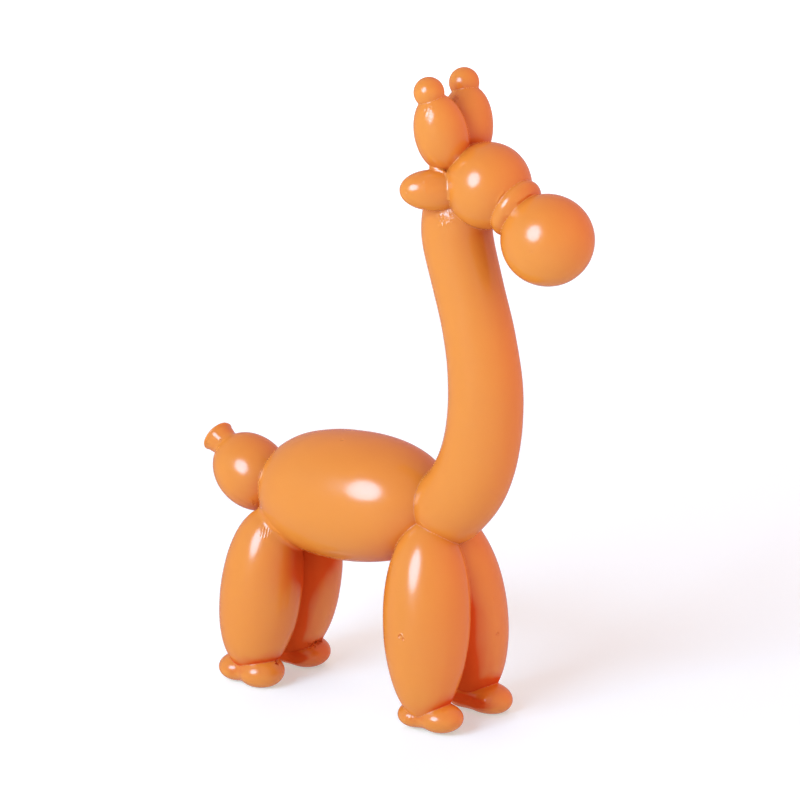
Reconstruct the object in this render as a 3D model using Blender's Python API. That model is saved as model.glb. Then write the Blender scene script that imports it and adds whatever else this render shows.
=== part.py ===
"""Balloon giraffe: a table ornament cast in resin in one piece.

The animal is a chain of inflated bubbles pressed into each other, as if twisted from one long
modelling balloon. It faces -Y, is symmetric about X = 0 and stands on Z = 0. Lengths are in
metres and angles in degrees.
"""

import math
from dataclasses import dataclass

import bmesh
import bpy
import numpy as np
from mathutils import Matrix, Vector

NAME = "balloon_giraffe"
SIDES = (-1, 1)
FACET = 0.0058
FEWEST_AROUND = 12

PAINT_COLOUR = (0.86, 0.33, 0.09, 1.0)
PAINT_ROUGHNESS = 0.3


@dataclass(frozen=True)
class Bubble:
    """A bubble round its own Z axis, then turned about X, Y and Z and put in its place.

    radii are its half widths and its half length. fullness swells its shoulders, and egg
    swells its upper end and thins its lower one.
    """

    place: tuple
    radii: tuple
    turn: tuple = (0.0, 0.0, 0.0)
    fullness: float = 0.0
    egg: float = 0.0


# The animal's length: axes turned down from upright to point forwards or backwards.
BODY = Bubble((0.0, 0.0190, 0.0950), (0.0301, 0.0301, 0.0501), (84.8, 0.0, 0.0), 0.33, -0.06)
TAIL = Bubble((0.0, 0.0791, 0.0952), (0.0165, 0.0165, 0.0203), (-58.3, 0.0, 0.0))
HEAD = Bubble((0.0, -0.0519, 0.2515), (0.0194, 0.0194, 0.0194))
RING = Bubble((0.0, -0.0670, 0.2437), (0.0139, 0.0139, 0.0081), (117.2, 0.0, 0.0))
NOSE = Bubble((0.0, -0.0842, 0.2319), (0.0199, 0.0211, 0.0204), (-8.4, 0.0, 0.0))

# The pairs, given for the side at +X.
REAR_LEG = Bubble((0.0148, 0.0617, 0.0452), (0.0190, 0.0190, 0.0400), (5.7, -3.6, 0.0), 0.23, -0.03)
FRONT_LEG = Bubble((0.0146, -0.0327, 0.0495), (0.0199, 0.0199, 0.0463), (-5.6, -8.0, 0.0), 0.08, 0.12)
REAR_TOE = Bubble((0.0180, 0.0593, 0.0065), (0.0111, 0.0109, 0.0076))
REAR_HEEL = Bubble((0.0182, 0.0720, 0.0060), (0.0100, 0.0091, 0.0068))
FRONT_TOE = Bubble((0.0187, -0.0443, 0.0060), (0.0098, 0.0113, 0.0072))
FRONT_HEEL = Bubble((0.0188, -0.0318, 0.0057), (0.0105, 0.0089, 0.0065))
EAR = Bubble((0.0146, -0.0331, 0.2494), (0.0092, 0.0092, 0.0154), (-89.2, 0.0, -45.5))
HORN = Bubble((0.0095, -0.0328, 0.2744), (0.0120, 0.0120, 0.0181), (-7.2, 13.8, 0.0), 0.11, -0.11)
HORN_BALL = Bubble((0.0132, -0.0286, 0.2924), (0.0068, 0.0068, 0.0069))

SINGLE_BUBBLES = (TAIL, HEAD, RING, NOSE)
PAIRED_BUBBLES = (
    REAR_LEG,
    FRONT_LEG,
    REAR_TOE,
    REAR_HEEL,
    FRONT_TOE,
    FRONT_HEEL,
    EAR,
    HORN,
    HORN_BALL,
)

# The neck's centre line, from the chest to the back of the head, as (Y, Z, radius).
NECK_WAY = (
    (-0.0343, 0.1005, 0.0177),
    (-0.0447, 0.1143, 0.0178),
    (-0.0512, 0.1341, 0.0173),
    (-0.0524, 0.1599, 0.0167),
    (-0.0464, 0.1906, 0.0157),
    (-0.0370, 0.2205, 0.0158),
    (-0.0356, 0.2342, 0.0159),
)
NECK_STATIONS = 24
NECK_CAP_STEPS = 5
NECK_TIP = 0.0004

# The tied nozzle on the tail, along its own axis.
KNOT_BASE = (0.0, 0.0952, 0.1062)
KNOT_TURN = (-62.6, 0.0, -4.5)
KNOT_ROOT = 0.0045
KNOT_WAIST = 0.0066
KNOT_LIP = 0.0080
KNOT_LENGTH = 0.0060
KNOT_LIP_ROUND = 0.0012
KNOT_DISH = 0.0020
KNOT_AROUND = 20
KNOT_FLARE_STEPS = 4
KNOT_LIP_STEPS = 3
SEAM_GAP = 0.000001

FLOOR_BLOCK = 0.4


def clear_scene():
    """Remove whatever the scene holds."""
    for item in list(bpy.data.objects):
        bpy.data.objects.remove(item, do_unlink=True)


def paint():
    """Make the satin orange paint."""
    material = bpy.data.materials.new("orange_paint")
    material.use_nodes = True
    shader = material.node_tree.nodes["Principled BSDF"]
    shader.inputs["Base Color"].default_value = PAINT_COLOUR
    shader.inputs["Roughness"].default_value = PAINT_ROUGHNESS
    shader.inputs["Metallic"].default_value = 0.0
    return material


def add_object(name, shape, collection):
    """Turn a bmesh into an object in a collection."""
    mesh = bpy.data.meshes.new(name)
    bmesh.ops.recalc_face_normals(shape, faces=shape.faces)
    shape.to_mesh(mesh)
    shape.free()
    mesh.shade_smooth()
    item = bpy.data.objects.new(name, mesh)
    collection.objects.link(item)
    return item


def facets(length, fewest=FEWEST_AROUND):
    """Count the facets along a curved length, in fours so that the halves match."""
    return max(fewest, 4 * round(length / FACET / 4))


def bubble_shape(bubble):
    """Blow a unit ball up to a bubble's own form, round its Z axis."""
    width, depth, half_length = bubble.radii
    shape = bmesh.new()
    bmesh.ops.create_uvsphere(
        shape,
        u_segments=facets(2.0 * math.pi * max(width, depth)),
        v_segments=facets(math.pi * (half_length + max(width, depth)) / 2.0, FEWEST_AROUND // 2),
        radius=1.0,
    )
    for vertex in shape.verts:
        height = vertex.co.z
        swell = math.sqrt((1.0 + bubble.fullness * height**2) * (1.0 + bubble.egg * height))
        vertex.co.x *= width * swell
        vertex.co.y *= depth * swell
        vertex.co.z *= half_length
    return shape


def place_bubble(name, bubble, collection, side=1):
    """Make one bubble and stand it in its place, mirrored for the side at -X."""
    item = add_object(name, bubble_shape(bubble), collection)
    across, along, up = bubble.place
    pitch, roll, yaw = bubble.turn
    item.location = (side * across, along, up)
    item.rotation_euler = (math.radians(pitch), side * math.radians(roll), side * math.radians(yaw))
    return item


def smooth_curve(points, samples):
    """Read evenly spaced rows from the natural cubic spline through the rows of points."""
    knots = np.array(points)
    count = len(knots)
    system = np.eye(count)
    bends = np.zeros_like(knots)
    for row in range(1, count - 1):
        system[row, row - 1 : row + 2] = (1.0, 4.0, 1.0)
        bends[row] = 6.0 * (knots[row - 1] - 2.0 * knots[row] + knots[row + 1])
    second = np.linalg.solve(system, bends)
    place = np.linspace(0.0, count - 1.0, samples)
    low = np.minimum(place.astype(int), count - 2)
    after = (place - low)[:, None]
    before = 1.0 - after
    straight = before * knots[low] + after * knots[low + 1]
    bent = (before**3 - before) * second[low] + (after**3 - after) * second[low + 1]
    return straight + bent / 6.0


def neck_rings():
    """List the neck's rings as (centre, direction, radius), with a round cap at each end."""
    rows = smooth_curve(NECK_WAY, NECK_STATIONS)
    centres = [Vector((0.0, along, up)) for along, up, _ in rows]
    radii = [float(radius) for _, _, radius in rows]
    ways = [(after - before).normalized() for before, after in zip(centres, centres[1:])]
    ways = [ways[0]] + [(a + b).normalized() for a, b in zip(ways, ways[1:])] + [ways[-1]]
    rings = list(zip(centres, ways, radii))
    angles = [0.5 * math.pi * step / NECK_CAP_STEPS for step in range(1, NECK_CAP_STEPS)]
    for end, outward in ((0, -1.0), (-1, 1.0)):
        centre, way, radius = rings[end]
        cap = [
            (centre + way * outward * radius * math.sin(angle), way, radius * math.cos(angle))
            for angle in angles
        ]
        rings = cap[::-1] + rings if outward < 0.0 else rings + cap
    return rings


def neck_shape():
    """Sweep a round section along the neck and close both ends at a tip."""
    rings = neck_rings()
    around = facets(2.0 * math.pi * max(radius for _, _, radius in rings))
    shape = bmesh.new()
    loops = []
    for centre, way, radius in rings:
        up = way.cross(Vector((1.0, 0.0, 0.0)))
        loop = []
        for step in range(around):
            angle = 2.0 * math.pi * step / around
            offset = Vector((math.cos(angle), 0.0, 0.0)) + up * math.sin(angle)
            loop.append(shape.verts.new(centre + radius * offset))
        loops.append(loop)
    for lower, upper in zip(loops, loops[1:]):
        for step in range(around):
            following = (step + 1) % around
            shape.faces.new((lower[step], lower[following], upper[following], upper[step]))
    for end, outward in ((0, -1.0), (-1, 1.0)):
        centre, way, _ = rings[end]
        loop = loops[end]
        point = shape.verts.new(centre + outward * NECK_TIP * way)
        for step in range(around):
            shape.faces.new((loop[step], loop[(step + 1) % around], point))
    return shape


def knot_outline():
    """List the nozzle's outline as (radius, height), from its root up and round its lip."""
    outline = [(0.0, -KNOT_ROOT), (KNOT_WAIST, -KNOT_ROOT)]
    flare_top = KNOT_LENGTH - KNOT_LIP_ROUND
    for step in range(KNOT_FLARE_STEPS + 1):
        share = step / KNOT_FLARE_STEPS
        outline.append((KNOT_WAIST + (KNOT_LIP - KNOT_WAIST) * share**2, flare_top * share))
    for step in range(1, KNOT_LIP_STEPS + 1):
        angle = math.pi * step / KNOT_LIP_STEPS
        outline.append(
            (
                KNOT_LIP - KNOT_LIP_ROUND * (1.0 - math.cos(angle)),
                flare_top + KNOT_LIP_ROUND * math.sin(angle),
            )
        )
    outline.append((0.0, KNOT_LENGTH - KNOT_DISH))
    return outline


def knot_shape():
    """Turn the nozzle's outline round its axis."""
    shape = bmesh.new()
    points = [shape.verts.new((radius, 0.0, height)) for radius, height in knot_outline()]
    edges = [shape.edges.new(pair) for pair in zip(points, points[1:])]
    bmesh.ops.spin(
        shape,
        geom=points + edges,
        cent=(0.0, 0.0, 0.0),
        axis=(0.0, 0.0, 1.0),
        angle=2.0 * math.pi,
        steps=KNOT_AROUND,
        use_merge=True,
    )
    bmesh.ops.remove_doubles(shape, verts=shape.verts, dist=SEAM_GAP)
    return shape


def place_knot(collection):
    """Put the tied nozzle on the tail."""
    item = add_object("tail_knot", knot_shape(), collection)
    item.location = KNOT_BASE
    item.rotation_euler = [math.radians(angle) for angle in KNOT_TURN]
    return item


def guide_collection(name):
    """Make a collection whose objects only shape the casting."""
    collection = bpy.data.collections.new(name)
    bpy.context.scene.collection.children.link(collection)
    return collection


def floor_block(collection):
    """Make the block under Z = 0 that cuts the feet flat."""
    shape = bmesh.new()
    bmesh.ops.create_cube(shape, size=FLOOR_BLOCK)
    item = add_object("floor_cut", shape, collection)
    item.matrix_world = Matrix.Translation((0.0, 0.0, -0.5 * FLOOR_BLOCK))
    return item


def press_together(item, bubbles, floor):
    """Join the body with every other bubble, then cut the feet flat."""
    union = item.modifiers.new("join_bubbles", "BOOLEAN")
    union.operation = "UNION"
    union.operand_type = "COLLECTION"
    union.collection = bubbles
    union.solver = "EXACT"
    union.use_self = True
    cut = item.modifiers.new("flat_feet", "BOOLEAN")
    cut.operation = "DIFFERENCE"
    cut.object = floor
    cut.solver = "EXACT"


def main():
    """Build the giraffe."""
    clear_scene()
    bubbles = guide_collection("bubbles")
    cutters = guide_collection("cutters")
    giraffe = place_bubble(NAME, BODY, bpy.context.scene.collection)
    giraffe.data.materials.append(paint())
    for number, bubble in enumerate(SINGLE_BUBBLES):
        place_bubble(f"single_{number}", bubble, bubbles)
    for number, bubble in enumerate(PAIRED_BUBBLES):
        for side in SIDES:
            place_bubble(f"pair_{number}", bubble, bubbles, side)
    add_object("neck", neck_shape(), bubbles)
    place_knot(bubbles)
    floor = floor_block(cutters)
    for guide in list(bubbles.objects) + list(cutters.objects):
        guide.hide_render = True
        guide.display_type = "WIRE"
    press_together(giraffe, bubbles, floor)


main()
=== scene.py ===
"""The looks of a balloon giraffe: a table ornament cast in resin in one piece and sprayed orange.

The animal is one skin over many inflated bubbles. Each bubble is a formula, the creases between
them are rounded, and a fine mesh with pinholes, mould lines and rough spots is drawn onto it all.

The maker's drawing is in millimetres, faces -Y and stands on Z = 0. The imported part's own box
gives the scale and the place of the drawing.
"""

import logging
import math
from dataclasses import dataclass, replace
from enum import Enum
from functools import cached_property
from typing import Protocol

import bmesh
import bpy
import numpy as np
from mathutils import Euler, Matrix, Vector


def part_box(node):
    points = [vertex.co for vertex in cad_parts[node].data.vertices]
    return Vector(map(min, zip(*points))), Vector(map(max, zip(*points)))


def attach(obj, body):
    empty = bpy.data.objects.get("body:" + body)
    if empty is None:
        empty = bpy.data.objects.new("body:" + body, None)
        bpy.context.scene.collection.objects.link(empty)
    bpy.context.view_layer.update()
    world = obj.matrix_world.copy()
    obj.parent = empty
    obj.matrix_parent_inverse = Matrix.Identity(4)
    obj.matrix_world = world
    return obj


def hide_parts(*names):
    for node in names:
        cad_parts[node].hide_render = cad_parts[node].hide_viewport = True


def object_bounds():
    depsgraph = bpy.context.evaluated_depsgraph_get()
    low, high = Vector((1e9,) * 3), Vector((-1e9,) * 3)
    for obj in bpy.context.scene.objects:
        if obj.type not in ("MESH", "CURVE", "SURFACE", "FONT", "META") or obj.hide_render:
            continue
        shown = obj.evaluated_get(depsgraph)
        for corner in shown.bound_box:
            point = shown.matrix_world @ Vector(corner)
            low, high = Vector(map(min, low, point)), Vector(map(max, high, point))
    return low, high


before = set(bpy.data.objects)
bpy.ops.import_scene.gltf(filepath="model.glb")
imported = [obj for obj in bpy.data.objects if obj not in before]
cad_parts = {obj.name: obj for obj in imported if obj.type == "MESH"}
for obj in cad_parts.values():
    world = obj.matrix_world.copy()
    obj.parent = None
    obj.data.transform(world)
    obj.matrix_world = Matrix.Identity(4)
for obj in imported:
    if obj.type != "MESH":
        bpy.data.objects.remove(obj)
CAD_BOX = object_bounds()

log = logging.getLogger("balloon_giraffe")

NODE = "balloon_giraffe"
BODY = "root"
PIECE_NAME = "giraffe_casting"
DRAWN_HEIGHT = 299.3
DRAWN_REAR = 103.78
SEED = 11
WAVE_COUNT = 18

# How far off distances are good, the widest tight crease, and a crease's fill for its width.
REACH = 7.0
TIGHT = 1.0
FILL = 0.25
# The least slopes and the least length that are divided by.
FLAT = 1e-6
SHALLOW = 0.3
SHORT = 0.1
# How often guesses are corrected, and how fine rough balls are.
BUBBLE_ROUNDS = 30
NECK_ROUNDS = 10
BALL_FINENESS = 4
# The ways to a tetrahedron's corners.
CORNERS = np.array([(1, 1, 1), (1, -1, -1), (-1, 1, -1), (-1, -1, 1)]) / math.sqrt(3.0)

Array = np.ndarray
Mesh = bpy.types.Mesh
Item = bpy.types.Object
Triple = tuple[float, float, float]
Colour = tuple[float, float, float]
Place = Array | Triple
Inputs = dict[str | int, object]


class Side(Enum):
    """The animal's own sides."""

    RIGHT = -1
    LEFT = 1


class Form(Protocol):
    """A solid that knows how far points are from its surface."""

    def distance(self, points: Array, reach: float = REACH) -> Array:
        """Return the signed distance of each point, negative inside, good within the reach."""

    def add_blank(self, blank: bmesh.types.BMesh) -> None:
        """Add a rough closed mesh of the form to the blank."""


def smooth_lower(first: Array, second: Array, width: float) -> Array:
    """Take the lower of two distances, rounded where they cross.

    Args:
        first: Distances to one form.
        second: Distances to the other form.
        width: How far from the crease the rounding begins.

    Returns:
        Distances to the joined forms.
    """
    share = np.clip(1.0 - np.abs(first - second) / width, 0.0, None)
    return np.minimum(first, second) - FILL * width * share**2


def range_from(place: Place, points: Array) -> Array:
    """Return how far each point is from a place."""
    return np.linalg.norm(points - np.array(place), axis=1)


def bearing_vector(bearing: float, rise: float) -> Array:
    """Turn a bearing from the front, positive towards the left side, and a rise into a way.

    Args:
        bearing: Degrees round the upright from -Y towards +X.
        rise: Degrees above the horizon.

    Returns:
        A unit vector.
    """
    turn, lift = math.radians(bearing), math.radians(rise)
    across, along = math.sin(turn), -math.cos(turn)
    return np.array([across * math.cos(lift), along * math.cos(lift), math.sin(lift)])


def sphere_ways(count: int) -> list[Array]:
    """Return a number of unit vectors spread evenly over all directions."""
    golden = math.degrees(math.pi * (3.0 - math.sqrt(5.0)))
    rises = [math.degrees(math.asin(1.0 - (2.0 * step + 1.0) / count)) for step in range(count)]
    return [bearing_vector(golden * step, rise) for step, rise in enumerate(rises)]


class Turned:
    """Something that is turned by degrees about X, then Y, then Z."""

    turn: Triple

    @cached_property
    def axes(self) -> Array:
        """Its own axes as columns."""
        return np.array(Euler([math.radians(angle) for angle in self.turn]).to_matrix())


@dataclass(frozen=True)
class Bubble(Turned):
    """One inflated bubble, round its own Z axis, then turned about X, Y and Z and put in place.

    radii are its half widths and its half length. fullness swells its shoulders, and egg swells
    its upper end and thins its lower one.
    """

    place: Triple
    radii: Triple
    turn: Triple = (0.0, 0.0, 0.0)
    fullness: float = 0.0
    egg: float = 0.0

    def on_side(self, side: Side) -> "Bubble":
        """Return this bubble on one side of the animal, where it is drawn for the left one."""
        across, along, up = self.place
        pitch, roll, yaw = self.turn
        sign = side.value
        place, turn = (sign * across, along, up), (pitch, sign * roll, sign * yaw)
        return replace(self, place=place, turn=turn)

    def distance(self, points: Array, reach: float = REACH) -> Array:
        """Measure points against the bubble.

        Args:
            points: Rows of x, y and z.
            reach: How far off the distances are wanted.

        Returns:
            Signed distances, exact for a ball and to first order for other forms, and only a
            lower bound beyond the reach.
        """
        offset = points - np.array(self.place)
        gap = np.sqrt((offset**2).sum(axis=1)) - max(self.radii)
        near = gap < reach
        local = offset[near] @ self.axes
        width, depth, length = self.radii
        height = local[:, 2] / length
        inner = 1.0 - height**2
        full = 1.0 + self.fullness * height**2
        tilt = 1.0 + self.egg * height
        section = (local[:, 0] / width) ** 2 + (local[:, 1] / depth) ** 2
        level = section - inner * full * tilt
        swelling = 2.0 * self.fullness * height * tilt + self.egg * full
        fall = -2.0 * height * full * tilt + inner * swelling
        steepness = np.sqrt(
            (2.0 * local[:, 0] / width**2) ** 2
            + (2.0 * local[:, 1] / depth**2) ** 2
            + (fall / length) ** 2
        )
        root = np.sqrt(np.maximum(1.0 + level, 1e-9))
        gap[near] = 2.0 * root * (root - 1.0) / np.maximum(steepness, FLAT)
        return gap

    def add_blank(self, blank: bmesh.types.BMesh) -> None:
        """Add the bubble's own form to the blank."""
        made = bmesh.ops.create_icosphere(blank, subdivisions=BALL_FINENESS, radius=1.0)["verts"]
        width, depth, length = self.radii
        turn = Matrix(self.axes.tolist())
        for vertex in made:
            height = vertex.co.z
            swell = math.sqrt((1.0 + self.fullness * height**2) * (1.0 + self.egg * height))
            across, along = vertex.co.x * width * swell, vertex.co.y * depth * swell
            vertex.co = turn @ Vector((across, along, height * length)) + Vector(self.place)

    def spot(self, bearing: float, rise: float) -> Array:
        """Find the point of the bubble's skin in a direction from its middle.

        Args:
            bearing: Degrees round the upright, from the front towards the left side.
            rise: Degrees above the horizon.

        Returns:
            The point.
        """
        middle, way = np.array(self.place), bearing_vector(bearing, rise)
        reach = max(self.radii)
        for _ in range(BUBBLE_ROUNDS):
            reach -= float(self.distance((middle + reach * way)[None, :])[0])
        return middle + reach * way


@dataclass(frozen=True)
class NeckTube:
    """The long curved bubble of the neck, swept along a smooth line of (along, up, radius) rows."""

    way: tuple[Triple, ...]
    samples: int = 400
    balls: int = 50

    @cached_property
    def rows(self) -> Array:
        """Evenly spaced rows of the natural cubic spline through the way."""
        knots = np.array(self.way)
        count = len(knots)
        system, bends = np.eye(count), np.zeros_like(knots)
        for row in range(1, count - 1):
            system[row, row - 1 : row + 2] = (1.0, 4.0, 1.0)
            bends[row] = 6.0 * (knots[row - 1] - 2.0 * knots[row] + knots[row + 1])
        second = np.linalg.solve(system, bends)
        place = np.linspace(0.0, count - 1.0, self.samples)
        low = np.minimum(place.astype(int), count - 2)
        after = (place - low)[:, None]
        before = 1.0 - after
        straight = before * knots[low] + after * knots[low + 1]
        curved = (before**3 - before) * second[low] + (after**3 - after) * second[low + 1]
        return straight + curved / 6.0

    @cached_property
    def slopes(self) -> Array:
        """How the rows change from one sample to the next."""
        return np.gradient(self.rows, axis=0)

    def read(self, rows: Array, place: Array) -> Array:
        """Read rows that belong to the samples at places between them."""
        steps = np.arange(self.samples, dtype=float)
        return np.stack([np.interp(place, steps, column) for column in rows.T], axis=1)

    def nearest(self, flat: Array) -> Array:
        """Find where along the neck's line each point of the middle plane belongs.

        Args:
            flat: Rows of y and z.

        Returns:
            Places along the samples, held to the line's ends.
        """
        place = np.interp(flat[:, 1], self.rows[:, 1], np.arange(self.samples, dtype=float))
        for _ in range(NECK_ROUNDS):
            centre = self.read(self.rows[:, :2], place)
            slope = self.read(self.slopes[:, :2], place)
            forward = ((flat - centre) * slope).sum(axis=1) / (slope**2).sum(axis=1)
            place = np.clip(place + forward, 0.0, self.samples - 1.0)
        return place

    def distance(self, points: Array, reach: float = REACH) -> Array:
        """Measure points against the neck.

        Args:
            points: Rows of x, y and z.
            reach: How far off the distances are wanted.

        Returns:
            Signed distances, or a lower bound beyond the reach.
        """
        widest = self.rows[:, 2].max()
        low = np.array([0.0, *self.rows[:, :2].min(axis=0)]) - widest
        high = np.array([0.0, *self.rows[:, :2].max(axis=0)]) + widest
        gap = np.sqrt((np.maximum(np.maximum(low - points, points - high), 0.0) ** 2).sum(axis=1))
        near = gap < reach
        chosen = points[near]
        along, up, radius = self.read(self.rows, self.nearest(chosen[:, 1:])).T
        span = chosen[:, 0] ** 2 + (chosen[:, 1] - along) ** 2 + (chosen[:, 2] - up) ** 2
        gap[near] = np.sqrt(span) - radius
        return gap

    def add_blank(self, blank: bmesh.types.BMesh) -> None:
        """Add balls along the neck's line to the blank."""
        for along, up, radius in self.rows[:: self.samples // self.balls]:
            at = Matrix.Translation((0.0, along, up))
            bmesh.ops.create_icosphere(blank, subdivisions=BALL_FINENESS, radius=radius, matrix=at)

    def spot(self, height: float, bearing: float) -> Array:
        """Find the point of the neck's skin at a height and on a bearing.

        Args:
            height: Height of the centre line at that point.
            bearing: Degrees round the neck, from the front towards the left side.

        Returns:
            The point.
        """
        heights = self.rows[:, 1]
        along, up, radius = (np.interp(height, heights, column) for column in self.rows.T)
        return np.array([0.0, along, up]) + radius * bearing_vector(bearing, 0.0)


@dataclass(frozen=True)
class Nozzle(Turned):
    """The tied nozzle: a short flared stub with a rolled lip and a hollow end, a little lopsided.

    puckers are rows of how many go round, their share of the wobble and their start.
    """

    base: Triple
    turn: Triple
    root: float
    waist: float
    lip: float
    length: float
    roll: float
    dish: float
    wobble: float
    puckers: tuple[Triple, ...] = ((2.0, 1.0, 0.6), (3.0, 0.6, 2.0), (7.0, 0.3, 0.0))
    slant: float = 0.35
    slant_start: float = -0.8
    tuck: float = 0.4
    steepness: float = 0.95
    sink: float = 0.2
    lip_crease: float = 0.7
    mouth_edge: float = 0.6

    def distance(self, points: Array, reach: float = REACH) -> Array:
        """Measure points against the nozzle.

        Args:
            points: Rows of x, y and z.
            reach: How far off the distances are wanted.

        Returns:
            Signed distances, or a lower bound beyond the reach.
        """
        offset = points - np.array(self.base)
        gap = np.sqrt((offset**2).sum(axis=1)) - self.lip - self.length
        near = gap < reach
        local = offset[near] @ self.axes
        angle = np.arctan2(local[:, 1], local[:, 0])
        uneven = sum(share * np.sin(count * angle + start) for count, share, start in self.puckers)
        across = np.hypot(local[:, 0], local[:, 1]) * (1.0 - self.wobble * uneven)
        dip = self.slant * np.sin(angle + self.slant_start)
        height = local[:, 2] - dip * np.clip(across / self.lip, 0.0, 1.0)
        top = self.length - self.roll
        share = np.clip(height / top, 0.0, 1.0)
        flare = self.waist + (self.lip - self.tuck * self.roll - self.waist) * share
        wall = self.steepness * (across - flare)
        stub = np.maximum(np.maximum(wall, height - top), -self.root - height)
        rolled = np.hypot(across - self.lip + self.roll, height - top) - self.roll
        whole = smooth_lower(stub, rolled, self.lip_crease)
        mouth = self.lip - self.roll
        bowl = (mouth**2 + self.dish**2) / (2.0 * self.dish)
        hollow = np.hypot(across, height - top - bowl + self.sink * self.dish) - bowl
        gap[near] = -smooth_lower(-whole, hollow, self.mouth_edge)
        return gap

    def add_blank(self, blank: bmesh.types.BMesh) -> None:
        """Add a plain cone of the nozzle's size to the blank."""
        turn = Matrix(self.axes.tolist()).to_4x4()
        middle = Matrix.Translation((0.0, 0.0, 0.5 * (self.length - self.root)))
        bmesh.ops.create_cone(
            blank,
            cap_ends=True,
            segments=48,
            radius1=self.waist,
            radius2=self.lip,
            depth=self.length + self.root,
            matrix=Matrix.Translation(self.base) @ turn @ middle,
        )


@dataclass(frozen=True)
class Blend:
    """Forms joined with their creases rounded over one width."""

    width: float
    members: tuple[Form, ...]

    def distance(self, points: Array, reach: float = REACH) -> Array:
        """Return the signed distances to the joined forms, good within the reach."""
        joined = self.members[0].distance(points, reach)
        for member in self.members[1:]:
            joined = smooth_lower(joined, member.distance(points, reach), self.width)
        return joined

    def add_blank(self, blank: bmesh.types.BMesh) -> None:
        """Add every member to the blank."""
        for member in self.members:
            member.add_blank(blank)

    def sharp_distance(self, points: Array) -> Array:
        """Return the signed distances to the same forms with their tight creases left sharp."""
        joined = None
        for member in self.members:
            nested = isinstance(member, Blend)
            gap = member.sharp_distance(points) if nested else member.distance(points)
            if joined is None:
                joined = gap
            elif self.width > TIGHT:
                joined = smooth_lower(joined, gap, self.width)
            else:
                joined = np.minimum(joined, gap)
        return joined


class Waves:
    """A smooth uneven field made of many plane waves, the same on every run."""

    def __init__(self, shortest: float, longest: float) -> None:
        """Draw the waves.

        Args:
            shortest: Shortest wavelength.
            longest: Longest wavelength.
        """
        draw = np.random.default_rng(SEED)
        ways = draw.normal(size=(WAVE_COUNT, 3))
        ways /= np.linalg.norm(ways, axis=1, keepdims=True)
        lengths = draw.uniform(shortest, longest, size=(WAVE_COUNT, 1))
        self.turns = 2.0 * math.pi * ways / lengths
        self.starts = draw.uniform(0.0, 2.0 * math.pi, size=WAVE_COUNT)

    def value(self, points: Array) -> Array:
        """Return the field at each point, mostly between -1 and 1."""
        return np.sin(points @ self.turns.T + self.starts).sum(axis=1) / math.sqrt(len(self.starts))


@dataclass(frozen=True)
class Pip:
    """A small round lump of resin, or a pinhole with a soft rim where its rise is negative."""

    place: Place
    radius: float
    rise: float
    rim: float = 0.0
    rim_place: float = 1.5
    rim_width: float = 0.45

    def height(self, points: Array) -> Array:
        """Return how far the pip lifts the skin at each point."""
        gap = range_from(self.place, points) / self.radius
        rim = self.rim * np.exp(-(((gap - self.rim_place) / self.rim_width) ** 2))
        return rim + self.rise * np.exp(-(gap**4))


@dataclass(frozen=True)
class Bead:
    """A thin raised line of resin along a few points, as a seam or as the edge of a fill leaves."""

    way: tuple[Triple, ...]
    width: float
    rise: float

    def height(self, points: Array) -> Array:
        """Return how far the bead lifts the skin at each point."""
        gap = np.full(len(points), np.inf)
        for start, end in zip(self.way, self.way[1:]):
            span = np.array(end) - np.array(start)
            offset = points - np.array(start)
            along = np.clip(offset @ span / (span @ span), 0.0, 1.0)
            gap = np.minimum(gap, np.linalg.norm(offset - along[:, None] * span, axis=1))
        return self.rise * np.exp(-((gap / self.width) ** 2))


@dataclass(frozen=True)
class RoughSpot:
    """A patch where crumbs of resin and paint have made the skin lumpy."""

    place: Place
    radius: float
    rise: float
    grain: float
    finest: float = 0.8
    coarsest: float = 1.6
    fade: float = 1.6

    def height(self, points: Array) -> Array:
        """Return how far the patch lifts the skin at each point."""
        gap = range_from(self.place, points) / self.radius
        near = gap < self.fade
        lift = np.zeros(len(points))
        lumps = Waves(self.finest * self.grain, self.coarsest * self.grain).value(points[near])
        lift[near] = self.rise * np.exp(-(gap[near] ** 4)) * lumps
        return lift


@dataclass(frozen=True)
class Ripples:
    """A few parallel waves in the paint."""

    place: Place
    across: Triple
    spacing: float
    radius: float
    rise: float

    def height(self, points: Array) -> Array:
        """Return how far the ripples lift the skin at each point."""
        window = np.exp(-((range_from(self.place, points) / self.radius) ** 4))
        way = np.array(self.across) / np.linalg.norm(self.across)
        along = (points - np.array(self.place)) @ way
        return self.rise * window * np.sin(2.0 * math.pi * along / self.spacing)


@dataclass(frozen=True)
class Facet:
    """A flat rubbed onto the casting at one spot, facing a given way."""

    place: Place
    bearing: float
    rise: float
    depth: float
    radius: float = 9.0
    width: float = 0.6

    def cut(self, points: Array, gap: Array) -> Array:
        """Cut distances down to the facet's plane near its spot.

        Args:
            points: Rows of x, y and z.
            gap: Signed distances to the uncut casting.

        Returns:
            Signed distances to the cut casting.
        """
        offset = points - np.array(self.place)
        plane = offset @ bearing_vector(self.bearing, self.rise) + self.depth
        near = range_from(self.place, points) < self.radius
        return np.where(near, -smooth_lower(-gap, -plane, self.width), gap)


Mark = Pip | Bead | RoughSpot | Ripples


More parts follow.
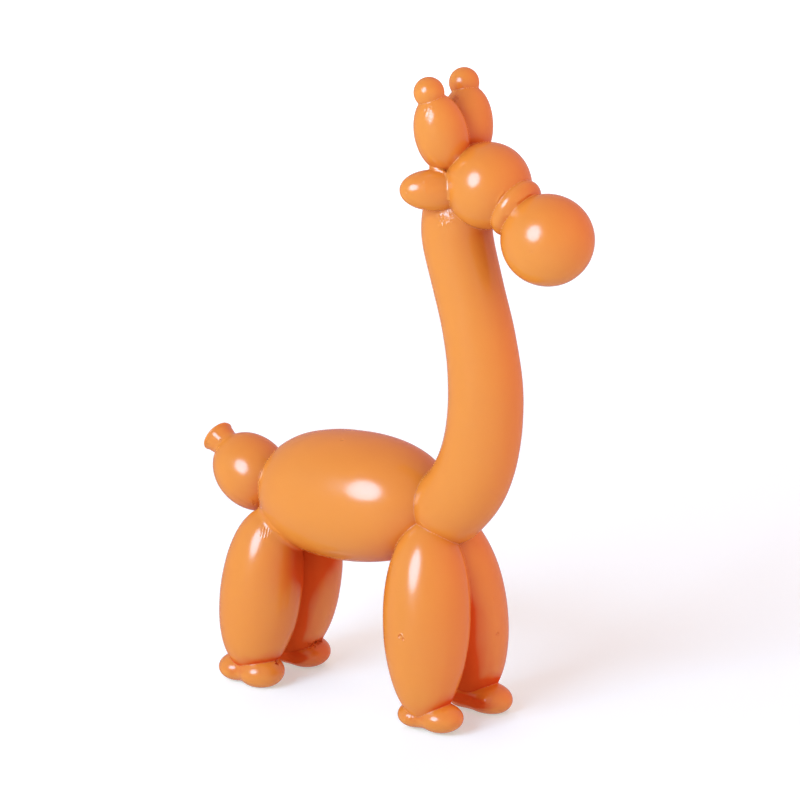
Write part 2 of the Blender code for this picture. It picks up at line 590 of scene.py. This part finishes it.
@dataclass(frozen=True)
class Trunk:
    """The barrel of the body, and the tail with its tied nozzle."""

    crease: float = 0.6
    rump_crease: float = 3.2
    tail_crease: float = 1.2
    body: Bubble = Bubble((0.0, 19.0, 95.0), (30.1, 30.1, 50.1), (84.8, 0.0, 0.0), 0.33, -0.06)
    tail: Bubble = Bubble((0.0, 79.1, 95.2), (16.5, 16.5, 20.3), (-58.3, 0.0, 0.0))
    nozzle: Nozzle = Nozzle(
        (0.0, 95.2, 106.2), (-62.6, 0.0, -4.5),
        root=4.5, waist=6.65, lip=8.0, length=6.0, roll=0.7, dish=2.0, wobble=0.025,
    )

    def form(self, rear_legs: Form) -> Form:
        """Join the barrel to the rear legs, then the tail and the nozzle to them.

        Args:
            rear_legs: The rear legs, which flow into the barrel.

        Returns:
            The joined form.
        """
        rump = Blend(self.rump_crease, (self.body, rear_legs))
        return Blend(self.crease, (rump, Blend(self.tail_crease, (self.tail, self.nozzle))))

    def marks(self) -> list[Mark]:
        """List the blemishes of the barrel and the tail."""
        return [
            Pip(self.body.spot(-96.0, 72.0), 0.8, -0.22, 0.05),
            Bead(((-11.4, 65.2, 98.9), (-12.7, 65.3, 94.8), (-12.2, 64.5, 91.5)), 0.55, 0.3),
            RoughSpot((-11.5, 69.0, 84.0), 2.0, 0.18, 0.9),
            Pip((-6.2, 92.9, 108.9), 0.6, 0.35),
            Pip((-8.3, 92.4, 106.5), 0.7, 0.3),
            Bead(((-22.6, 53.0, 81.6), (-22.2, 50.0, 79.0), (-21.8, 47.0, 76.8)), 0.9, 0.3),
            Ripples((-23.7, 52.8, 76.6), (0.55, -0.8, -0.2), 1.25, 2.6, 0.09),
        ]


@dataclass(frozen=True)
class Foot:
    """A foot of two pressed lobes, drawn for the left side."""

    toe: Bubble
    heel: Bubble
    waist: float = 3.0

    def form(self, side: Side) -> Form:
        """Join the lobes on one side."""
        return Blend(self.waist, (self.toe.on_side(side), self.heel.on_side(side)))


@dataclass(frozen=True)
class LegPair:
    """Two legs side by side on their feet, each drawn as if it were the left one."""

    right_leg: Bubble
    left_leg: Bubble
    right_foot: Foot
    left_foot: Foot
    crease: float = 0.6

    def form(self) -> Form:
        """Join both legs with their feet."""
        right = (self.right_leg.on_side(Side.RIGHT), self.right_foot.form(Side.RIGHT))
        left = (self.left_leg, self.left_foot.form(Side.LEFT))
        return Blend(self.crease, (Blend(self.crease, right), Blend(self.crease, left)))


@dataclass(frozen=True)
class Head:
    """The head ball, the ring behind the nose, the nose, the ears and the horns with their balls."""

    crease: float = 0.5
    skull: Bubble = Bubble((0.0, -51.9, 251.5), (19.4, 19.4, 19.4))
    ring: Bubble = Bubble((0.0, -67.0, 243.7), (13.9, 13.9, 8.1), (117.2, 0.0, 0.0))
    nose: Bubble = Bubble((0.0, -84.2, 231.9), (19.9, 21.1, 20.4), (-8.4, 0.0, 0.0))
    ear: Bubble = Bubble((14.6, -33.1, 249.4), (9.2, 9.2, 15.4), (-89.2, 0.0, -45.5))
    horn: Bubble = Bubble((9.5, -32.8, 274.4), (12.0, 12.0, 18.1), (-7.2, 13.8, 0.0), 0.11, -0.11)
    horn_ball: Bubble = Bubble((13.2, -28.6, 292.4), (6.8, 6.8, 6.9))
    ear_fill: Bubble = Bubble((14.3, -35.0, 258.5), (1.1, 4.6, 1.0), (10.8, 0.0, -9.0))

    def form(self) -> Form:
        """Join the head's bubbles."""
        horns = (
            Blend(self.crease, (self.horn.on_side(side), self.horn_ball.on_side(side)))
            for side in Side
        )
        ears = (part.on_side(side) for part in (self.ear, self.ear_fill) for side in Side)
        return Blend(self.crease, (self.skull, self.ring, self.nose, *ears, *horns))

    def marks(self) -> list[Mark]:
        """List the blemishes of the head."""
        near_ear = self.ear.on_side(Side.RIGHT)
        fill = (
            (-15.0, -31.0, 259.5), (-15.0, -35.4, 258.5), (-14.0, -38.9, 257.5),
            (-15.6, -40.9, 256.0), (-17.3, -42.8, 251.3), (-16.9, -42.9, 247.0),
        )
        crest = (
            (-16.0, -31.2, 259.7), (-15.8, -33.6, 259.5),
            (-15.0, -36.2, 259.0), (-14.8, -38.6, 258.3),
        )
        return [
            Pip(self.nose.spot(-80.0, -1.0), 0.5, -0.14, 0.03),
            Pip(self.nose.spot(-76.0, -2.0), 0.45, -0.12, 0.03),
            Pip(near_ear.spot(-114.0, 2.0), 0.5, -0.15, 0.04),
            Bead(((-23.0, -34.0, 255.2), (-24.3, -35.5, 250.6)), 0.4, 0.26),
            Bead(fill, 0.5, 0.7),
            Bead(crest, 0.6, 0.35),
            Bead(((-12.3, -71.3, 243.4), (-10.8, -73.0, 246.0), (-9.6, -74.0, 247.3)), 0.7, 0.4),
            Bead(((-8.7, -74.4, 249.6), (-3.4, -76.0, 252.0), (4.5, -75.9, 251.0)), 0.9, 0.5),
            Bead(((-13.1, -65.8, 248.3), (-12.4, -66.9, 251.0), (-10.9, -67.9, 253.1)), 0.5, 0.35),
            RoughSpot((2.9, -31.0, 287.1), 2.4, 0.3, 1.0),
            RoughSpot((-19.5, -33.6, 286.3), 4.0, 0.05, 1.6),
            RoughSpot((10.8, -30.7, 290.5), 3.6, 0.25, 1.3),
        ]


@dataclass(frozen=True)
class Giraffe:
    """The whole casting. The shelter of its skin, which is painted as shade, counts most below the belly
    and at the rear.
    """

    trunk: Trunk = Trunk()
    rear: LegPair = LegPair(
        Bubble((14.8, 61.7, 45.2), (19.0, 19.0, 40.0), (5.7, -3.6, 0.0), 0.23, -0.03),
        Bubble((14.9, 61.4, 45.2), (19.1, 19.1, 40.7), (7.2, -1.2, 0.0), 0.27, 0.01),
        Foot(Bubble((18.1, 59.1, 6.7), (11.0, 11.0, 7.8)), Bubble((18.2, 72.0, 6.4), (10.0, 9.2, 6.5))),
        Foot(
            Bubble((17.8, 59.6, 6.6), (11.4, 10.9, 7.4)),
            Bubble((18.2, 72.1, 6.0), (10.0, 9.0, 7.0)),
            waist=6.0,
        ),
    )
    front: LegPair = LegPair(
        Bubble((14.6, -32.7, 49.5), (19.9, 19.9, 46.3), (-5.6, -8.0, 0.0), 0.08, 0.12),
        Bubble((14.6, -32.3, 49.5), (19.8, 19.8, 46.1), (-6.0, -9.4, 0.0), 0.03, 0.07),
        Foot(Bubble((18.9, -44.1, 6.9), (9.8, 11.0, 6.8)), Bubble((18.8, -31.9, 6.3), (10.6, 9.0, 6.0))),
        Foot(
            Bubble((18.5, -44.5, 5.9), (9.8, 11.7, 7.3)),
            Bubble((18.8, -31.7, 6.2), (10.4, 8.7, 7.0)),
            waist=4.5,
        ),
    )
    neck: NeckTube = NeckTube((
        (-34.3, 100.5, 17.7), (-44.7, 114.3, 17.8), (-51.2, 134.1, 17.3), (-52.4, 159.9, 16.7),
        (-46.4, 190.6, 15.7), (-37.0, 220.5, 15.8), (-35.6, 234.2, 15.9),
    ))
    head: Head = Head()
    crease: float = 0.6
    foot_edge: float = 1.0
    unevenness: float = 0.05
    swell_sizes: tuple[float, float] = (12.0, 30.0)
    # How hidden each point of the skin is; this is painted as shade, most below the belly and at the
    # rear.
    looks: int = 20
    look_steps: tuple[float, ...] = (9.0, 26.0)
    belly: float = 76.0
    belly_fade: float = 0.3
    rear_start: float = 25.0
    rear_fade: float = 20.0
    rear_extra: float = 0.35
    open_share: float = 0.35
    upward_fade: float = 1.25
    # Patches of painted shadow on the far feet, where the near legs shadow them; dullness is their
    # strength.
    shaded_feet: tuple[Triple, ...] = ((14.0, 54.0, 5.0), (9.0, -34.0, 4.0))
    shaded_feet_reach: float = 13.0
    shaded_feet_fade: float = 5.0
    dullness: float = 0.27
    mark_clearing: float = 4.0
    voxel: float = 0.55
    quick_voxel: float = 1.1
    triangles: int = 192000
    first_rounds: int = 4
    last_rounds: int = 2
    longest_move: float = 1.0

    @cached_property
    def form(self) -> Blend:
        """The bubbles of the whole animal, joined."""
        trunk = self.trunk.form(self.rear.form())
        return Blend(self.crease, (trunk, self.front.form(), self.neck, self.head.form()))

    @cached_property
    def marks(self) -> list[Mark]:
        """Every blemish of the casting."""
        front, rear = self.front.left_leg, self.rear.right_foot
        near_leg = self.front.right_leg.on_side(Side.RIGHT)
        crumbs = ((11.0, 53.2, 12.8), (13.5, 52.1, 13.3), (16.4, 51.8, 13.4), (19.6, 52.5, 13.2))
        chest_fill = (
            (-17.2, -29.6, 95.6), (-16.0, -32.8, 94.2), (-14.6, -35.8, 92.1),
            (-11.2, -39.5, 89.1), (-5.8, -41.7, 86.8),
        )
        return [
            *self.trunk.marks(),
            *self.head.marks(),
            Pip(near_leg.spot(-90.0, -6.0), 0.8, -0.34, 0.2),
            Pip(near_leg.spot(-85.0, -9.0), 0.6, -0.3, 0.14),
            Pip(front.spot(-11.0, 21.0), 0.6, 0.16),
            Pip(front.spot(-3.0, -26.0), 0.6, -0.4, 0.1),
            Pip(self.neck.spot(212.1, 4.0), 0.55, -0.16, 0.04),
            Pip(rear.toe.on_side(Side.RIGHT).spot(13.0, 38.0), 0.45, -0.4, 0.05),
            *(RoughSpot(place, 1.8, 0.5, 0.8) for place in crumbs),
            RoughSpot((-16.8, 51.1, 12.0), 1.4, 0.35, 0.8),
            Pip((25.0, 55.0, 12.5), 0.9, 0.8),
            Bead(chest_fill, 0.65, 0.35),
            RoughSpot((-15.2, -39.8, 237.4), 4.8, 0.05, 0.6),
            RoughSpot((-28.6, -33.5, 7.8), 3.6, 0.07, 1.6),
            Pip((9.7, -47.9, 7.6), 1.7, 0.12, -0.05),
        ]

    @cached_property
    def facets(self) -> list[Facet]:
        """Every rubbed flat of the casting."""
        return [
            Facet((-18.2, 48.7, 3.8), 0.0, -23.0, 0.3),
            Facet((20.9, 49.3, 3.4), 15.0, -27.0, 0.3),
        ]

    @cached_property
    def swells(self) -> Waves:
        """The slight unevenness of a hand-finished casting."""
        return Waves(*self.swell_sizes)

    def surface(self, points: Array) -> Array:
        """Measure points against the finished skin, blemishes and flat feet included.

        Args:
            points: Rows of x, y and z.

        Returns:
            Signed distances.
        """
        gap = self.form.distance(points)
        for facet in self.facets:
            gap = facet.cut(points, gap)
        gap = gap - self.unevenness * self.swells.value(points)
        for mark in self.marks:
            gap = gap - mark.height(points)
        return -smooth_lower(-gap, points[:, 2], self.foot_edge)

    def probe(self, points: Array, step: float = 0.05) -> tuple[Array, Array]:
        """Measure points and the way the skin faces there.

        Args:
            points: Rows of x, y and z.
            step: How far off each point the skin is felt.

        Returns:
            Signed distances over their slope, and unit normals.
        """
        felt = [self.surface(points + step * corner) for corner in CORNERS]
        slope = 0.75 / step * sum(gap[:, None] * corner for gap, corner in zip(felt, CORNERS))
        steepness = np.linalg.norm(slope, axis=1)
        normals = slope / np.maximum(steepness, 1e-9)[:, None]
        return sum(felt) / len(CORNERS) / np.maximum(steepness, SHALLOW), normals

    def shelter(self, points: Array, normals: Array) -> Array:
        """Feel how much of the surroundings the casting hides from points of its own skin, which the
        paint darkens as painted shade.

        Args:
            points: Rows of x, y and z on the skin.
            normals: The way the skin faces there.

        Returns:
            0 in the open, about 1 deep between the legs, and at least the strength of the painted shadow
            on the shaded feet.
        """
        hidden = np.zeros(len(points))
        for way in sphere_ways(self.looks):
            look = normals + way
            look /= np.maximum(np.linalg.norm(look, axis=1, keepdims=True), SHORT)
            closed = np.zeros(len(points))
            for step in self.look_steps:
                gap = self.form.distance(points + step * look, step)
                closed = np.maximum(closed, np.clip(1.0 - 2.0 * gap / step, 0.0, 1.0))
            hidden += closed / self.looks
        below = (self.belly - points[:, 2]) / (self.belly_fade * self.belly)
        rearward = (points[:, 1] - self.rear_start) / self.rear_fade
        among_legs = np.clip(below, 0.0, 1.0) * (1.0 + self.rear_extra * np.clip(rearward, 0.0, 1.0))
        # Skin that faces up gets less painted shade, as if lit from above.
        not_facing_up = np.clip(1.0 - self.upward_fade * np.maximum(normals[:, 2], 0.0), 0.0, 1.0)
        shelter = hidden * not_facing_up * (self.open_share + (1.0 - self.open_share) * among_legs)
        # Painted shadow of the near legs on the far feet.
        for place in self.shaded_feet:
            inside = (self.shaded_feet_reach - range_from(place, points)) / self.shaded_feet_fade
            shelter = np.maximum(shelter, self.dullness * np.clip(inside, 0.0, 1.0))
        return shelter

    def settle(self, points: Array, rounds: int) -> Array:
        """Move points onto the skin.

        Args:
            points: Rows of x, y and z near the skin.
            rounds: How often to correct them.

        Returns:
            The moved points.
        """
        for _ in range(rounds):
            gap, normals = self.probe(points)
            move = np.clip(gap, -self.longest_move, self.longest_move)
            points = points - move[:, None] * normals
        return points

    def blank(self) -> Mesh:
        """Make one even closed mesh from all the rough forms."""
        rough = bmesh.new()
        self.form.add_blank(rough)
        mesh = bpy.data.meshes.new("blank")
        rough.to_mesh(mesh)
        rough.free()
        size = self.voxel
        return with_modifier(mesh, "REMESH", mode="VOXEL", voxel_size=size)

    def mesh(self) -> Mesh:
        """Draw the fine mesh onto the finished skin.

        Returns:
            The mesh, in the drawing's own units, with its normals and its crease and shelter values.
        """
        even = self.blank()
        write_points(even, self.settle(read_points(even), self.first_rounds))
        faces = sum(len(polygon.vertices) - 2 for polygon in even.polygons)
        fine = with_modifier(even, "DECIMATE", ratio=min(1.0, self.triangles / faces))
        keep_largest_shell(fine)
        points = self.settle(read_points(fine), self.last_rounds)
        write_points(fine, points)
        normals = self.probe(points)[1]
        fine.normals_split_custom_set_from_vertices(normals.tolist())
        filled = self.form.sharp_distance(points) - self.form.distance(points)
        raised = np.maximum(sum(mark.height(points) for mark in self.marks), 0.0)
        # How far into a crease each point lies; the paint darkens it there as painted shade, and raised
        # marks clear it.
        crease = filled / (FILL * self.crease) - self.mark_clearing * raised
        add_values(fine, "crease", np.clip(crease, 0.0, 1.0))
        add_values(fine, "shelter", self.shelter(points, normals))
        return fine


def placed(name: str, data: bpy.types.ID) -> Item:
    """Make an object for some data and put it in the scene."""
    item = bpy.data.objects.new(name, data)
    bpy.context.scene.collection.objects.link(item)
    return item


def with_modifier(mesh: Mesh, kind: str, **settings: object) -> Mesh:
    """Work a modifier into a new mesh.

    Args:
        mesh: The mesh to start from, which is removed.
        kind: The modifier's type.
        settings: The modifier's settings.

    Returns:
        The new mesh.
    """
    item = placed("bench", mesh)
    modifier = item.modifiers.new("step", kind)
    for key, value in settings.items():
        setattr(modifier, key, value)
    graph = bpy.context.evaluated_depsgraph_get()
    made = bpy.data.meshes.new_from_object(item.evaluated_get(graph))
    bpy.data.objects.remove(item)
    bpy.data.meshes.remove(mesh)
    return made


def keep_largest_shell(mesh: Mesh) -> None:
    """Remove every shell of a mesh but the one with the most vertices."""
    shape = bmesh.new()
    shape.from_mesh(mesh)
    unseen, shells = set(shape.verts), []
    while unseen:
        shell = [unseen.pop()]
        for vertex in shell:
            near = {edge.other_vert(vertex) for edge in vertex.link_edges} & unseen
            unseen -= near
            shell.extend(near)
        shells.append(shell)
    shells.sort(key=len)
    strays = [vertex for shell in shells[:-1] for vertex in shell]
    bmesh.ops.delete(shape, geom=strays, context="VERTS")
    shape.to_mesh(mesh)
    shape.free()
    log.info("removed %d stray vertices in %d shells", len(strays), len(shells) - 1)


def read_points(mesh: Mesh) -> Array:
    """Return a mesh's vertices as rows."""
    flat = np.empty(3 * len(mesh.vertices))
    mesh.vertices.foreach_get("co", flat)
    return flat.reshape(-1, 3)


def write_points(mesh: Mesh, points: Array) -> None:
    """Put rows back as a mesh's vertices."""
    mesh.vertices.foreach_set("co", points.ravel())
    mesh.update()


def add_values(mesh: Mesh, name: str, values: Array) -> None:
    """Store one value for each vertex under a name that a shader can read."""
    stored = mesh.attributes.new(name, "FLOAT", "POINT")
    stored.data.foreach_set("value", values.astype(np.float32))


@dataclass(frozen=True)
class Shade:
    """A shader output that works in Python expressions, with the desk that made it."""

    desk: "ShaderDesk"
    socket: bpy.types.NodeSocket

    def __add__(self, other: "Shade | float") -> "Shade":
        """Return self + other."""
        return self.desk.maths("ADD", self, other)

    __radd__ = __add__

    def __mul__(self, other: "Shade | float") -> "Shade":
        """Return self * other."""
        return self.desk.maths("MULTIPLY", self, other)

    __rmul__ = __mul__

    def __sub__(self, other: "Shade | float") -> "Shade":
        """Return self - other."""
        return self.desk.maths("SUBTRACT", self, other)

    def __rsub__(self, other: "Shade | float") -> "Shade":
        """Return other - self."""
        return self.desk.maths("SUBTRACT", other, self)

    def clamped(self) -> "Shade":
        """Return the value held between 0 and 1."""
        return self.desk.add("ShaderNodeClamp", {}, {"Value": self}, "Result")


class ShaderDesk:
    """Lays out the nodes of one material."""

    def __init__(self, name: str) -> None:
        """Start a material that has only a Principled shader.

        Args:
            name: The material's name.
        """
        self.material = bpy.data.materials.new(name)
        self.material.use_nodes = True
        self.shader = self.material.node_tree.nodes["Principled BSDF"]

    def feed(self, node: bpy.types.Node, inputs: Inputs) -> None:
        """Set or link the inputs of a node.

        Args:
            node: The node.
            inputs: A value or a Shade for each socket's name or number.
        """
        for key, value in inputs.items():
            if isinstance(value, Shade):
                self.material.node_tree.links.new(value.socket, node.inputs[key])
            else:
                node.inputs[key].default_value = value

    def add(
        self, kind: str, settings: dict[str, object], inputs: Inputs, output: str | int
    ) -> Shade:
        """Add a node.

        Args:
            kind: The node's type.
            settings: The node's own settings.
            inputs: A value or a Shade for each socket's name or number.
            output: The output socket wanted.

        Returns:
            That output.
        """
        node = self.material.node_tree.nodes.new(kind)
        for key, value in settings.items():
            setattr(node, key, value)
        self.feed(node, inputs)
        return Shade(self, node.outputs[output])

    def maths(self, operation: str, *values: Shade | float) -> Shade:
        """Add a Math node for an operation on values."""
        return self.add("ShaderNodeMath", {"operation": operation}, dict(enumerate(values)), 0)

    def mixed(self, share: Shade | float, plain: Shade | Colour, other: Shade | Colour) -> Shade:
        """Mix two colours.

        Args:
            share: How much of the other colour.
            plain: The colour at share 0.
            other: The colour at share 1.

        Returns:
            The mixed colour.
        """
        colours = [value if isinstance(value, Shade) else (*value, 1.0) for value in (plain, other)]
        inputs = {0: share, 6: colours[0], 7: colours[1]}
        return self.add("ShaderNodeMix", {"data_type": "RGBA"}, inputs, 2)

    def lay_over(self, share: Shade, other: Shade) -> None:
        """Lay another shader over the first one.

        Args:
            share: How much of the other one shows.
            other: The other shader's output.
        """
        first = Shade(self, self.shader.outputs["BSDF"])
        both = self.add("ShaderNodeMixShader", {}, {0: share.clamped(), 1: first, 2: other}, 0)
        self.feed(self.material.node_tree.nodes["Material Output"], {"Surface": both})

    def noise(self, size: float, detail: float = 2.0) -> Shade:
        """Add smooth noise on the object's own coordinates.

        Args:
            size: Size of its lumps in metres.
            detail: How many finer layers it has.

        Returns:
            Values round 0.5.
        """
        place = self.add("ShaderNodeTexCoord", {}, {}, "Object")
        inputs = {"Vector": place, "Scale": 1.0 / size, "Detail": detail}
        return self.add("ShaderNodeTexNoise", {}, inputs, "Fac")


@dataclass(frozen=True)
class OrangeEnamel:
    """Sprayed orange enamel with a satin gloss over cast resin. Its sizes are in metres."""

    colour: Colour = (0.635, 0.221, 0.0245)
    thin_colour: Colour = (0.65, 0.231, 0.0265)
    # Painted shade: the darker colour painted into the creases.
    crease_shade_colour: Colour = (0.33, 0.05, 0.006)
    # Painted shade: the deep red painted where the skin is hidden among the legs.
    painted_shade_colour: Colour = (0.57, 0.076, 0.013)
    painted_shade_start: float = 0.9
    painted_shade_gain: float = 4.4
    crease_shade_share: float = 0.85
    cloud_size: float = 0.03
    cloud_detail: float = 3.0
    roughness: float = 0.2
    uneven_roughness: float = 0.06
    uneven_size: float = 0.004
    crease_roughness: float = 0.6
    matt_roughness: float = 0.9
    crease_mattness: float = 0.5
    gloss: float = 1.0
    coat: float = 0.4
    coat_roughness: float = 0.1
    peel_size: float = 0.0014
    peel_depth: float = 0.000025

    def material(self) -> bpy.types.Material:
        """Make the paint: gloss in the open, and painted shade, darker and matt, in creases and among
        the legs.
        """
        desk = ShaderDesk("orange_enamel")
        crease, shelter = (
            desk.add("ShaderNodeAttribute", {"attribute_name": name}, {}, "Fac")
            for name in ("crease", "shelter")
        )
        # Creases are painted darker and made matt: painted shade in the creases.
        crease_shade = crease * crease
        # How much deep red painted shade each point gets from its shelter.
        deep = (shelter * (shelter * self.painted_shade_gain + self.painted_shade_start)).clamped()
        clouds = desk.noise(self.cloud_size, self.cloud_detail)
        tint = desk.mixed(clouds, self.colour, self.thin_colour)
        tint = desk.mixed(deep, tint, self.painted_shade_colour)
        tint = desk.mixed(crease_shade * self.crease_shade_share, tint, self.crease_shade_colour)
        peel = desk.noise(self.peel_size)
        bump = desk.add("ShaderNodeBump", {}, {"Height": peel, "Distance": self.peel_depth}, "Normal")
        uneven = desk.noise(self.uneven_size) * self.uneven_roughness
        dullness = uneven + crease_shade * self.crease_roughness
        desk.feed(desk.shader, {
            "Base Color": tint,
            "Roughness": dullness + (self.roughness - 0.5 * self.uneven_roughness),
            "Normal": bump,
            "Coat Weight": (1.0 - crease_shade) * self.coat,
            "Coat Roughness": self.coat_roughness,
            "Specular IOR Level": self.gloss,
        })
        matt_inputs = {
            "Base Color": tint, "Normal": bump,
            "Roughness": self.matt_roughness, "Specular IOR Level": 0.0,
        }
        matt_layer = desk.add("ShaderNodeBsdfPrincipled", {}, matt_inputs, "BSDF")
        desk.lay_over(deep * deep + crease_shade * self.crease_mattness, matt_layer)
        return desk.material


@dataclass(frozen=True)
class PaleSweep:
    """The matt white of the studio floor, with a glow whose tints cancel the room's."""

    colour: Colour = (0.8, 0.8, 0.8)
    darkest: float = 0.99
    cloud_size: float = 0.05
    roughness: float = 0.9
    glow: float = 0.38
    near_tint: Colour = (0.68, 1.0, 0.98)
    far_tint: Colour = (1.75, 2.1, 2.05)
    near_reach: float = 0.8
    far_reach: float = 1.9

    def material(self) -> bpy.types.Material:
        """Make the floor's finish, which stays as pale far off as it is by the object."""
        desk = ShaderDesk("pale_floor")
        place = desk.add("ShaderNodeTexCoord", {}, {}, "Object")
        distance = desk.add("ShaderNodeVectorMath", {"operation": "LENGTH"}, {0: place}, "Value")
        far = ((distance - self.near_reach) * (1.0 / (self.far_reach - self.near_reach))).clamped()
        darker = tuple(self.darkest * part for part in self.colour)
        tint = desk.mixed(desk.noise(self.cloud_size), self.colour, darker)
        desk.feed(desk.shader, {
            "Base Color": tint,
            "Roughness": self.roughness,
            "Emission Color": desk.mixed(far, self.near_tint, self.far_tint),
            "Emission Strength": self.glow,
        })
        return desk.material


@dataclass(frozen=True)
class Ornament:
    """The visible giraffe: a drawing in millimetres and its paint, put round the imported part."""

    drawing: Giraffe
    paint: OrangeEnamel

    def build(self) -> Item:
        """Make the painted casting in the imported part's place, and let it stand for it.

        Returns:
            The visible piece.
        """
        low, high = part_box(NODE)
        scale = (high.z - low.z) / DRAWN_HEIGHT
        foot = Vector((0.5 * (low.x + high.x), high.y - scale * DRAWN_REAR, low.z))
        mesh = self.drawing.mesh()
        mesh.name = PIECE_NAME
        mesh.transform(Matrix.Translation(foot) @ Matrix.Scale(scale, 4))
        mesh.materials.clear()
        mesh.materials.append(self.paint.material())
        piece = placed(PIECE_NAME, mesh)
        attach(piece, BODY)
        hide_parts(NODE)
        return piece


class LightFace(Enum):
    """The outlines a soft light can have."""

    OBLONG = "RECTANGLE"
    ROUND = "ELLIPSE"


class Lit(Enum):
    """What a light is flagged to fall on."""

    ALL = "everything"
    PIECE = "the ornament alone"
    FLOOR = "the floor alone"


@dataclass(frozen=True)
class Softbox:
    """A soft light with an oblong or round face, aimed at the object.

    Its width and height are the angles it spans as its target sees it, in degrees, and its glow is
    its radiance. Its target is the object, or a place beyond it on the same bearing. The gloss of
    the paint shows it only if it is mirrored.
    """

    name: str
    bearing: float
    rise: float
    width: float
    height: float
    glow: float
    tint: Colour = (1.0, 1.0, 1.0)
    distance: float = 2.0
    beyond: float = 0.0
    face: LightFace = LightFace.OBLONG
    mirrored: bool = False
    lit: Lit = Lit.ALL

    def build(self, aim: Vector, receivers: dict[Lit, bpy.types.Collection]) -> None:
        """Hang the light.

        Args:
            aim: The point it faces.
            receivers: What a light that is flagged off from the rest may fall on.
        """
        light = bpy.data.lights.new(self.name, "AREA")
        light.shape = self.face.value
        light.size = 2.0 * self.distance * math.tan(math.radians(0.5 * self.width))
        light.size_y = 2.0 * self.distance * math.tan(math.radians(0.5 * self.height))
        share = 0.25 * math.pi if self.face is LightFace.ROUND else 1.0
        light.energy = math.pi * self.glow * share * light.size * light.size_y
        light.color = self.tint
        item = placed(self.name, light)
        way = Vector(bearing_vector(self.bearing, self.rise).tolist())
        away = Vector(bearing_vector(self.bearing, 0.0).tolist())
        item.location = aim + self.beyond * away + self.distance * way
        item.rotation_euler = way.to_track_quat("Z", "Y").to_euler()
        item.visible_glossy = self.mirrored
        item.light_linking.receiver_collection = receivers.get(self.lit)


@dataclass(frozen=True)
class Studio:
    """The floor, the lights and the camera."""

    camera_bearing: float = -53.887
    camera_rise: float = 15.98
    camera_roll: float = 0.763
    camera_distance: float = 2.1562
    lens: float = 214.74
    aim_shift: Triple = (-0.0001, -0.00485, -0.00465)
    floor_size: float = 24.0
    floor_cells: int = 8
    surround: float = 0.57
    surround_tint: Colour = (1.0, 0.535, 0.55)

    def lights(self) -> list[Softbox]:
        """List the studio's lights."""
        return [
            Softbox(
                "key_softbox", -97.0, 26.5, 31.0, 35.0, 4.75, (0.65, 1.0, 1.33),
                face=LightFace.ROUND, mirrored=True,
            ),
            Softbox("front_fill", -46.0, 18.0, 70.0, 32.0, 0.5),
            Softbox("rear_fill", -140.0, 18.0, 40.0, 30.0, 1.25),
            Softbox("warm_fill", 28.0, 30.0, 95.0, 55.0, 1.3, (1.0, 0.39, 0.31), lit=Lit.PIECE),
            Softbox(
                "backdrop_light", 126.0, 80.0, 85.0, 55.0, 2.6,
                distance=1.2, beyond=1.9, lit=Lit.FLOOR,
            ),
        ]

    def build_camera(self, centre: Vector) -> None:
        """Set up the camera.

        Args:
            centre: The middle of the object's box.
        """
        turn = math.radians(self.camera_bearing)
        back = Vector(bearing_vector(self.camera_bearing, self.camera_rise).tolist())
        right = Vector((math.cos(turn), math.sin(turn), 0.0))
        up = back.cross(right)
        place = centre + Vector(self.aim_shift) + self.camera_distance * back
        level = Matrix((right, up, back)).transposed().to_4x4()
        camera = placed("studio_camera", bpy.data.cameras.new("studio_camera"))
        camera.data.lens = self.lens
        roll = Matrix.Rotation(math.radians(self.camera_roll), 4, "Z")
        camera.matrix_world = Matrix.Translation(place) @ level @ roll
        bpy.context.scene.camera = camera

    def build_floor(self, height: float) -> Item:
        """Lay the floor.

        Args:
            height: The height of the object's feet.

        Returns:
            The floor.
        """
        shape = bmesh.new()
        cells, size = self.floor_cells, 0.5 * self.floor_size
        bmesh.ops.create_grid(shape, x_segments=cells, y_segments=cells, size=size)
        mesh = bpy.data.meshes.new("studio_floor")
        shape.to_mesh(mesh)
        shape.free()
        mesh.materials.append(PaleSweep().material())
        floor = placed("studio_floor", mesh)
        floor.location.z = height
        floor.visible_glossy = False
        return floor

    def build_world(self) -> None:
        """Fill the room with even, warm light."""
        world = bpy.data.worlds.new("studio_room")
        world.use_nodes = True
        background = world.node_tree.nodes["Background"]
        background.inputs["Color"].default_value = (*self.surround_tint, 1.0)
        background.inputs["Strength"].default_value = self.surround
        bpy.context.scene.world = world
        bpy.context.scene.view_settings.view_transform = "Standard"

    def build(self, piece: Item) -> None:
        """Set up the whole studio round the object.

        Args:
            piece: The ornament.
        """
        low, high = CAD_BOX
        centre = 0.5 * (low + high)
        self.build_camera(centre)
        floor = self.build_floor(low.z)
        self.build_world()
        receivers = {}
        for lit, item in ((Lit.PIECE, piece), (Lit.FLOOR, floor)):
            receivers[lit] = bpy.data.collections.new(f"lit_{item.name}")
            receivers[lit].objects.link(item)
        for light in self.lights():
            light.build(centre, receivers)


def main() -> None:
    """Build the ornament and the studio."""
    logging.basicConfig(level=logging.INFO, format="%(name)s: %(message)s")
    piece = Ornament(Giraffe(), OrangeEnamel()).build()
    log.info("built %s with %d vertices", piece.name, len(piece.data.vertices))
    Studio().build(piece)


if __name__ == "__main__":
    main()
